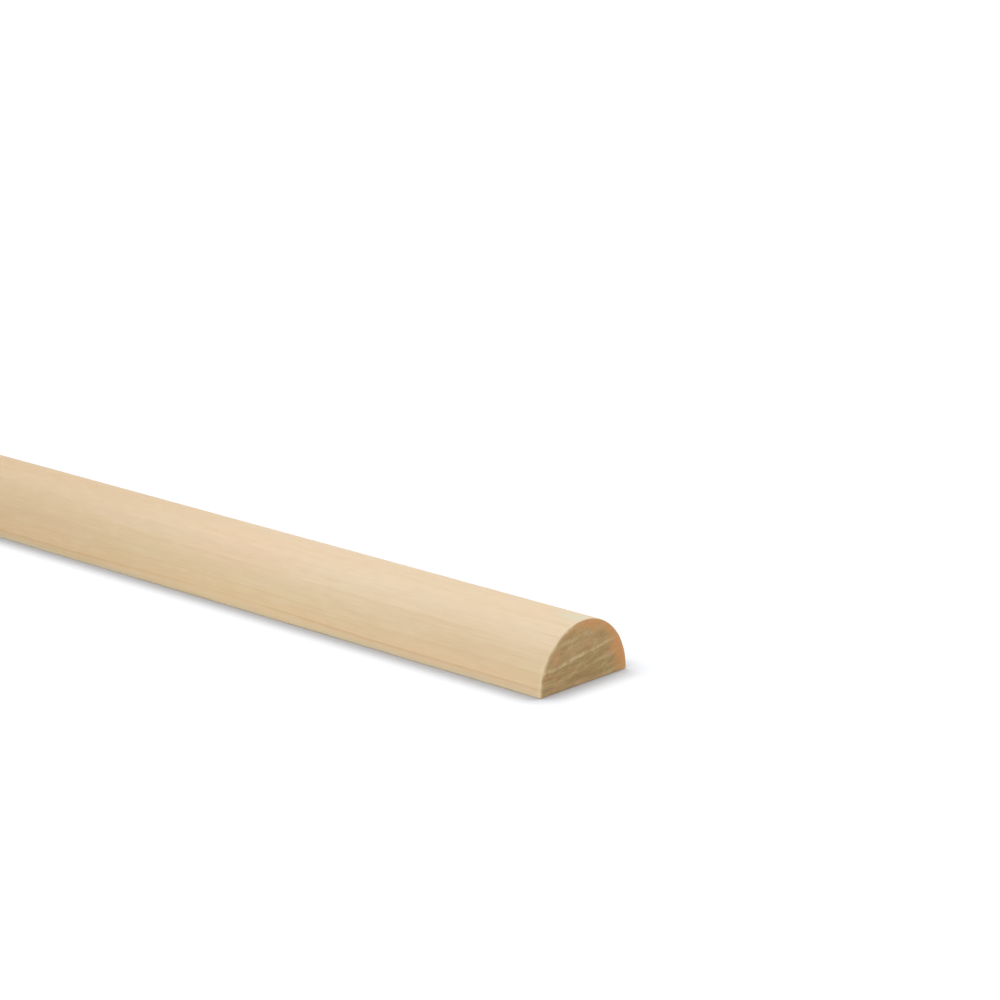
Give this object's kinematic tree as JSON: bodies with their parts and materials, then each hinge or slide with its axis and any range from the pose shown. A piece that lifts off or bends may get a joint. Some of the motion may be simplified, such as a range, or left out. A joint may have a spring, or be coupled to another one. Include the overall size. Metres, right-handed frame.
{
  "type": "split dowel rod",
  "caption": "Straight wooden half-round rod: a dowel ripped lengthwise, with one sawn flat, a round back and square-cut ends.",
  "frame": {"origin": "middle of the sawn flat, halfway along the rod", "axes": "+X along the rod, +Z out of the middle of the round back, Y across the sawn flat"},
  "size_m": [0.3048, 0.019, 0.0098],
  "materials": {
    "wood": "matte"
  },
  "bodies": {
    "root": {"half_round_rod": "wood"}
  },
  "joints": []
}
